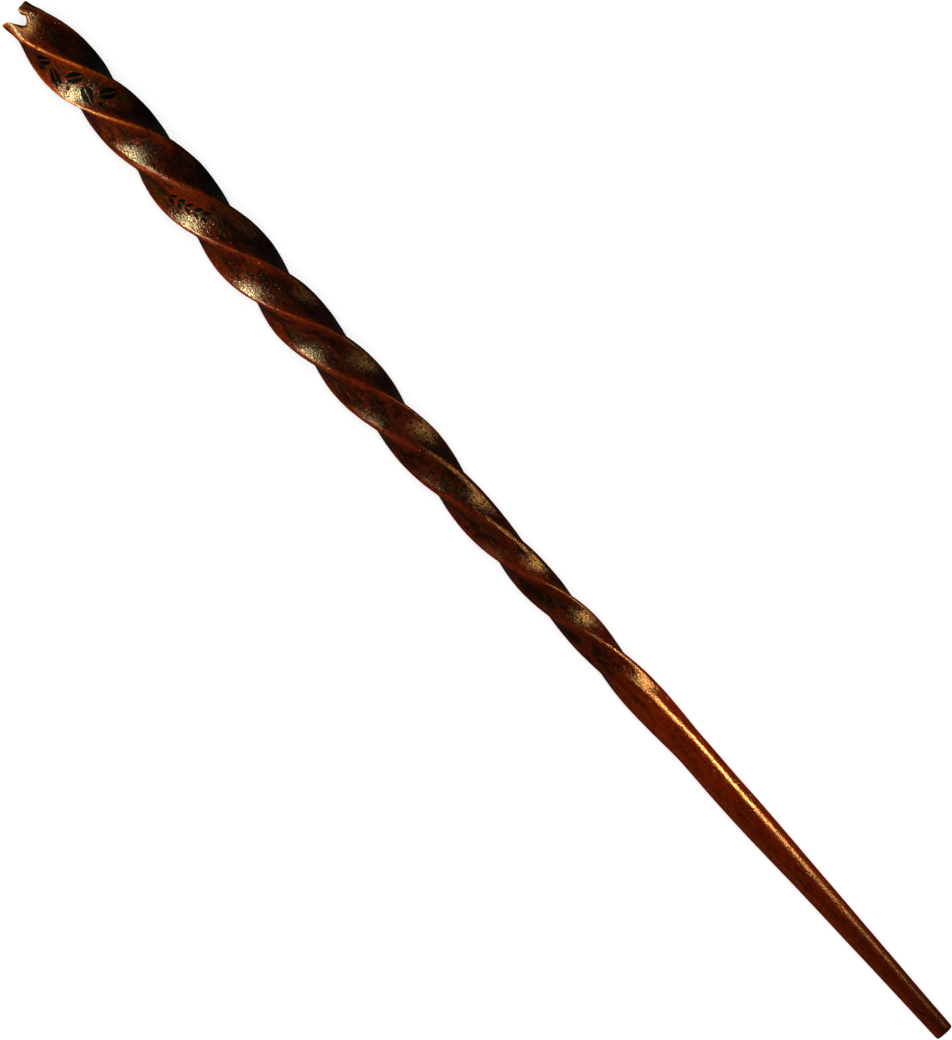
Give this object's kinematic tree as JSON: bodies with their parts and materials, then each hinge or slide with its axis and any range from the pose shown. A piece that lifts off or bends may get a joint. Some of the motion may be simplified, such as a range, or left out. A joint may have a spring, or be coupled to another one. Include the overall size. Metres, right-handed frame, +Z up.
{
  "type": "magic wand",
  "caption": "Prop wand: a twisted square stick with engraved facets and a fishtail butt, running out into a round shaft that tapers to a flat-cut tip.",
  "frame": {"origin": "on the table under the middle of the wand's box, with the wand lying on its side", "axes": "+X along the wand from the butt to the tip, +Y to the left of the tip seen from above, +Z up"},
  "size_m": [0.355, 0.0158, 0.0166],
  "materials": {
    "stained_casting": "cast resin painted as dark red-brown stained wood, ridges rubbed to orange, gloss varnish",
    "steel_rod": "drawn bright steel",
    "spacer_plastic": "unpainted moulding plastic",
    "plug_filler": "brown filler, sanded and stained",
    "black_fill": "black filling paint under the varnish"
  },
  "bodies": {
    "root": {"stick": "stained_casting", "core_rod": "steel_rod", "rod_spacer_butt": "spacer_plastic", "rod_spacer_middle": "spacer_plastic", "rod_spacer_shaft": "spacer_plastic", "butt_plug": "plug_filler", "large_ornament_fill": "black_fill", "small_ornament_fill": "black_fill"}
  },
  "joints": []
}
